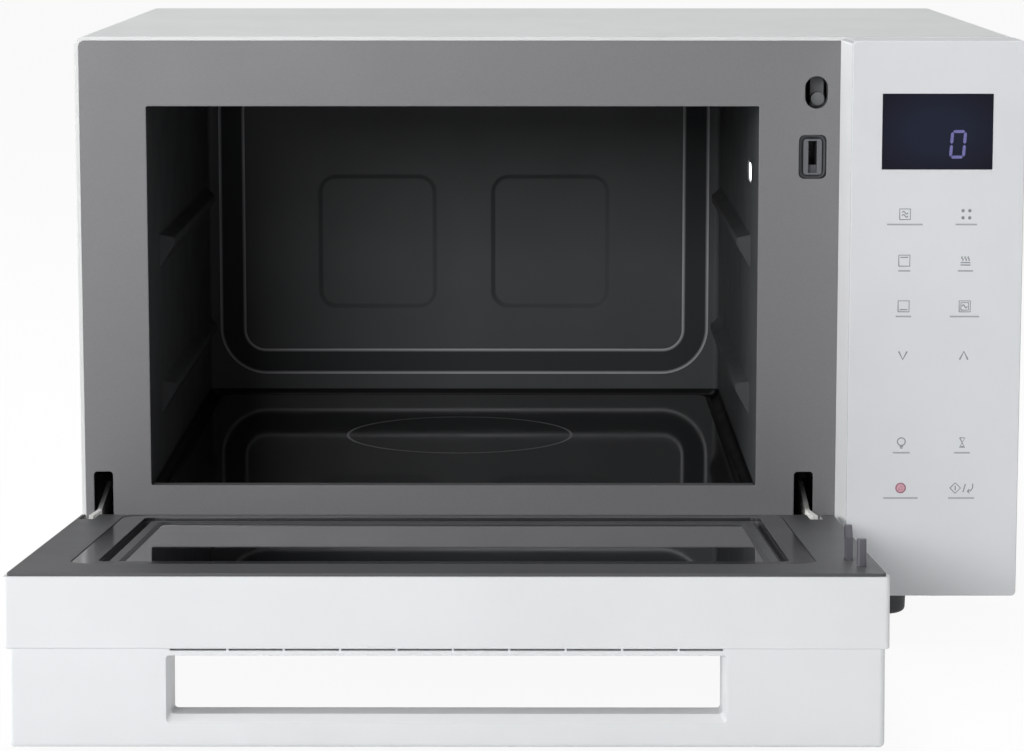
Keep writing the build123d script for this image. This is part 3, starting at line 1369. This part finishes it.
def door_bezel():
    """A tray under the ring, with the groove and the rim that holds the inner glass."""
    base = SCREEN_BACK
    wall = BEZEL_WALL
    far = CHOKE_FAR + 1
    reach = CHOKE_HALF + BEZEL_REACH
    near = CHOKE_NEAR + BEZEL_REACH
    outline = door_window(reach, far, near, RECESS_RADIUS)
    bezel = from_front(outline - bezel_outlines(GROOVE_WIDTH + wall), base, base + wall)
    fence = outline - door_window(reach - wall, far - BEZEL_REACH, near - wall, RECESS_RADIUS)
    bezel += from_front(fence, base, DOOR_RIM_Y)
    step = bezel_outlines(-wall) - bezel_outlines(0)
    bezel += from_front(step, base, DOOR_INNER_Y - CHOKE_DROP - CHOKE_SHEET)
    step = bezel_outlines(GROOVE_WIDTH) - bezel_outlines(GROOVE_WIDTH + wall)
    bezel += from_front(step, base, BEZEL_HIGH)
    flat = GROOVE_WIDTH + RIM_WIDTH
    rim = bezel_outlines(GROOVE_WIDTH) - bezel_outlines(flat + BEZEL_RUN)
    bezel += from_front(rim, BEZEL_FOOT, BEZEL_HIGH)
    slope = front_loft(
        bezel_outlines(flat), BEZEL_HIGH, bezel_outlines(flat + BEZEL_RUN), BEZEL_FOOT
    )
    return bezel - slope


def door_inner_glass():
    return from_front(bezel_outlines(GLASS_INSET), BEZEL_FOOT - INNER_GLASS, BEZEL_FOOT)


def door_screen():
    return from_front(bezel_outlines(GLASS_INSET), SCREEN_BACK, SCREEN_BACK + SCREEN_SHEET)


def door_choke_frame():
    """Steel frame that carries the glass: a flange, a folded choke channel and hinge ears."""
    top = SCREEN_BACK
    sheet = CHOKE_FRAME_SHEET
    flange = door_window(EAR_OUTER_OFFSET, FLANGE_FAR, FLANGE_NEAR, 2)
    flange += door_window(CHOKE_HALF - 2, CHOKE_FAR + 2, FLANGE_NEAR - 2, 2)
    hole = bezel_outlines(CHANNEL_WIDTH / 2)
    frame = from_front(flange - hole, top - sheet, top)
    deep = top - CHANNEL_DEPTH
    outside = bezel_outlines(-sheet)
    inside = bezel_outlines(CHANNEL_WIDTH / 2)
    channel = from_front(outside - inside, deep, top - sheet / 2)
    slot = bezel_outlines(0) - bezel_outlines(CHANNEL_WIDTH / 2 - sheet)
    frame += channel - from_front(slot, deep + sheet, top - sheet)
    for side in (-1, 1):
        x = sorted(CAVITY_CENTRE_X + side * off for off in (EAR_INNER_OFFSET, EAR_OUTER_OFFSET))
        ear = circle(-PIVOT_OUT, PIVOT_Z, EAR_RADIUS)
        ear += make_face(
            Polyline(
                (-PIVOT_OUT - EAR_RADIUS, PIVOT_Z),
                (-PIVOT_OUT + EAR_RADIUS, PIVOT_Z),
                (top - sheet / 2, PIVOT_Z + EAR_LOW),
                (top - sheet / 2, PIVOT_Z + EAR_HIGH),
                (top - CHANNEL_DEPTH, PIVOT_Z + EAR_LOW + CHANNEL_WIDTH / 2),
                close=True,
            )
        )
        ear -= circle(-PIVOT_OUT, PIVOT_Z, PIN_RADIUS + PIN_SEAT)
        frame += from_side(ear, *x)
    return frame


def door_handle():
    """A bar along the door's top edge, hollowed by the finger slot and a ribbed gap."""
    left = DOOR_LEFT + HANDLE_INSET
    right = DOOR_RIGHT - HANDLE_INSET
    low = HANDLE_TOP - HANDLE_HEIGHT
    bar = box(left, right, HANDLE_Y, DOOR_OUTER_Y, low, HANDLE_TOP)
    rounded = [edge for edge in bar.edges() if edge.center().Y < DOOR_OUTER_Y - SEAM]
    bar = fillet(rounded, HANDLE_ROUNDING)
    slot_front = HANDLE_Y + HANDLE_BAR
    slot_back = DOOR_OUTER_Y - HANDLE_VENT - HANDLE_RAIL
    slot = rectangle(GRIP_LEFT, GRIP_RIGHT, slot_front, slot_back, GRIP_RADIUS)
    bar -= from_top(slot, low - 1, HANDLE_TOP + 1)
    mouth = rectangle(
        GRIP_LEFT - GRIP_BEVEL / 2,
        GRIP_RIGHT + GRIP_BEVEL / 2,
        slot_front - GRIP_BEVEL,
        slot_back,
        GRIP_RADIUS,
    )
    bevel = loft([
        (Pos(0, 0, HANDLE_TOP - GRIP_BEVEL) * slot).faces()[0],
        (Pos(0, 0, HANDLE_TOP) * mouth).faces()[0],
    ])
    bar -= bevel
    vent = box(GRIP_LEFT, GRIP_RIGHT, DOOR_OUTER_Y - HANDLE_VENT, DOOR_OUTER_Y + 1, low - 1, TOP)
    count = int((GRIP_RIGHT - GRIP_LEFT) / HANDLE_RIB_PITCH)
    for k in range(1, count + 1):
        x = GRIP_LEFT + k * HANDLE_RIB_PITCH
        vent -= box(x, x + HANDLE_RIB, DOOR_OUTER_Y - HANDLE_VENT, DOOR_OUTER_Y, low, HANDLE_TOP)
    return bar - vent


def latch_hook():
    """The hook: a shank about its pin in the door, with a barb that drops behind the catch."""
    tip = DOOR_INNER_Y + HOOK_REACH
    barb = CATCH_DEPTH + CATCH_THICKNESS + 0.5
    high = LATCH_Z + HOOK_HALF
    low = LATCH_Z - HOOK_HALF
    shank_low = low + CATCH_BITE + 1.2
    side = make_face(
        Polyline(
            (HOOK_PIVOT_Y, HOOK_PIVOT_Z + HOOK_EYE),
            (tip - 5, high),
            (tip, high - 4),
            (tip, low + 3),
            (tip - 2.5, low),
            (barb, low),
            (barb, shank_low),
            (HOOK_PIVOT_Y, HOOK_PIVOT_Z - HOOK_EYE),
            close=True,
        )
    )
    side += circle(HOOK_PIVOT_Y, HOOK_PIVOT_Z, HOOK_EYE)
    side -= circle(HOOK_PIVOT_Y, HOOK_PIVOT_Z, HOOK_PIN_RADIUS + PIN_FIT)
    half = HOOK_THICKNESS / 2
    return from_side(side, LATCH_X - half, LATCH_X + half)


def hook_pin():
    reach = HOOK_THICKNESS / 2 + SEAM + HOOK_EAR_SHEET
    right = LATCH_X + reach + SPRING_LENGTH + 1
    return rod_x(HOOK_PIVOT_Y, HOOK_PIVOT_Z, HOOK_PIN_RADIUS, LATCH_X - reach, right)


def hook_spring():
    """A short torsion spring on the end of the hook's pin, with its fixed leg."""
    left = LATCH_X + HOOK_THICKNESS / 2 + SEAM + HOOK_EAR_SHEET + SPRING_FIT
    coil = rod_x(HOOK_PIVOT_Y, HOOK_PIVOT_Z, SPRING_RADIUS, left, left + SPRING_LENGTH)
    coil -= rod_x(
        HOOK_PIVOT_Y, HOOK_PIVOT_Z, HOOK_PIN_RADIUS + SPRING_FIT, left - 1, left + SPRING_LENGTH + 1
    )
    leg = box(
        left,
        left + 1,
        HOOK_PIVOT_Y,
        DOOR_RIM_Y,
        HOOK_PIVOT_Z + SPRING_RADIUS - 1,
        HOOK_PIVOT_Z + SPRING_RADIUS,
    )
    return coil + leg


def switch_block():
    outline = centred(BLOCK_X, BLOCK_Z, BLOCK_WIDTH, BLOCK_HEIGHT, BLOCK_RADIUS)
    return from_front(outline, DOOR_INNER_Y, PLUNGER_TIP - BLOCK_GAP)


def hinge_pins():
    pins = []
    for side in (-1, 1):
        ends = sorted(CAVITY_CENTRE_X + side * off for off in (PIN_INNER_OFFSET, PIN_OUTER_OFFSET))
        pins.append(rod_x(-PIVOT_OUT, PIVOT_Z, PIN_RADIUS, *ends))
    return group(pins)


def hinge_plates():
    """Zinc-plated plates: flat behind the frame, joggled outward to the pin in the door."""
    plates = []
    foot = FOOT_HEIGHT + BASE_SHEET
    side_view = make_face(
        Polyline(
            (-PIVOT_OUT, PIVOT_Z + HINGE_EYE),
            (0, HINGE_TOP_FRONT),
            (HINGE_BACK, HINGE_TOP_BACK),
            (HINGE_BACK, foot),
            (HINGE_FOOT_FRONT, foot),
            (HINGE_FOOT_FRONT, HINGE_LOW),
            (0, HINGE_LOW),
            (-PIVOT_OUT, PIVOT_Z - HINGE_EYE),
            close=True,
        )
    )
    side_view += circle(-PIVOT_OUT, PIVOT_Z, HINGE_EYE)
    side_view -= circle(-PIVOT_OUT, PIVOT_Z, PIN_RADIUS + PIN_FIT)
    inner = HINGE_INSIDE_OFFSET
    outer = HINGE_OUTSIDE_OFFSET
    half = HINGE_SHEET / 2
    far = -PIVOT_OUT - HINGE_EYE - 1
    plan = make_face(
        Polyline(
            (inner - half, HINGE_BACK + 1),
            (inner + half, HINGE_BACK + 1),
            (inner + half, JOGGLE_BACK),
            (outer + half, JOGGLE_FRONT),
            (outer + half, far),
            (outer - half, far),
            (outer - half, JOGGLE_FRONT),
            (inner - half, JOGGLE_BACK),
            close=True,
        )
    )
    plate = from_side(side_view, inner - 10, outer + 10) & from_top(plan, 0, TOP)
    plate += box(
        inner - HINGE_FOOT, inner, HINGE_FOOT_FRONT, HINGE_BACK, foot, foot + HINGE_SHEET
    )
    plates.append(Pos(CAVITY_CENTRE_X, 0, 0) * plate)
    plates.append(Pos(CAVITY_CENTRE_X, 0, 0) * mirror(plate, Plane.YZ))
    return group(plates)


def opened(shape):
    """A piece of the closed door, turned down about the hinge line."""
    back = Pos(0, -PIVOT_OUT, PIVOT_Z)
    return back * Rot(DOOR_OPEN_ANGLE, 0, 0) * Pos(0, PIVOT_OUT, -PIVOT_Z) * shape


CABINET = {
    "cabinet_cover": cabinet_cover,
    "rear_panel": rear_panel,
    "base_plate": base_plate,
    "front_frame": front_frame,
    "feet": feet,
    "cabinet_screws": cabinet_screws,
    "cord_gland": cord_gland,
    "cavity_liner": cavity_liner,
    "floor_plate": floor_plate,
    "floor_seal": floor_seal,
    "grill_heater": grill_heater,
    "heater_clips": heater_clips,
    "stirrer_antenna": stirrer_antenna,
    "stirrer_shaft": stirrer_shaft,
    "stirrer_motor": stirrer_motor,
    "waveguide": waveguide,
    "magnetron": magnetron,
    "inverter_board": inverter_board,
    "inverter_heat_sink": inverter_heat_sink,
    "inverter_transformer": inverter_transformer,
    "noise_filter": noise_filter,
    "fan_housing": fan_housing,
    "fan_rotor": fan_rotor,
    "fan_motor": fan_motor,
    "air_guide": air_guide,
    "lamp_cover": lamp_cover,
    "lamp_holder": lamp_holder,
    "oven_lamp": oven_lamp,
    "thermostats": thermostats,
    "latch_housing": latch_housing,
    "latch_socket": latch_socket,
    "door_plunger": door_plunger,
    "door_switches": door_switches,
    "hinge_plates": hinge_plates,
    "panel_fascia": panel_fascia,
    "display_window": display_window,
    "display_module": display_module,
    "touch_sensor": touch_sensor,
    "control_board": control_board,
}
DOOR = {
    "door_shell": door_shell,
    "door_outer_glass": door_outer_glass,
    "door_inner_frame": door_inner_frame,
    "door_choke_cover": door_choke_cover,
    "door_bezel": door_bezel,
    "door_inner_glass": door_inner_glass,
    "door_screen": door_screen,
    "door_choke_frame": door_choke_frame,
    "door_handle": door_handle,
    "latch_hook": latch_hook,
    "hook_pin": hook_pin,
    "hook_spring": hook_spring,
    "switch_block": switch_block,
    "hinge_pins": hinge_pins,
}

os.makedirs("parts", exist_ok=True)
for name, make in CABINET.items():
    export_step(Pos(0, ORIGIN_SHIFT, 0) * make(), f"parts/{name}.step")
for name, make in DOOR.items():
    export_step(Pos(0, ORIGIN_SHIFT, 0) * opened(make()), f"parts/{name}.step")
print("origin shift along Y", round(ORIGIN_SHIFT, 3))
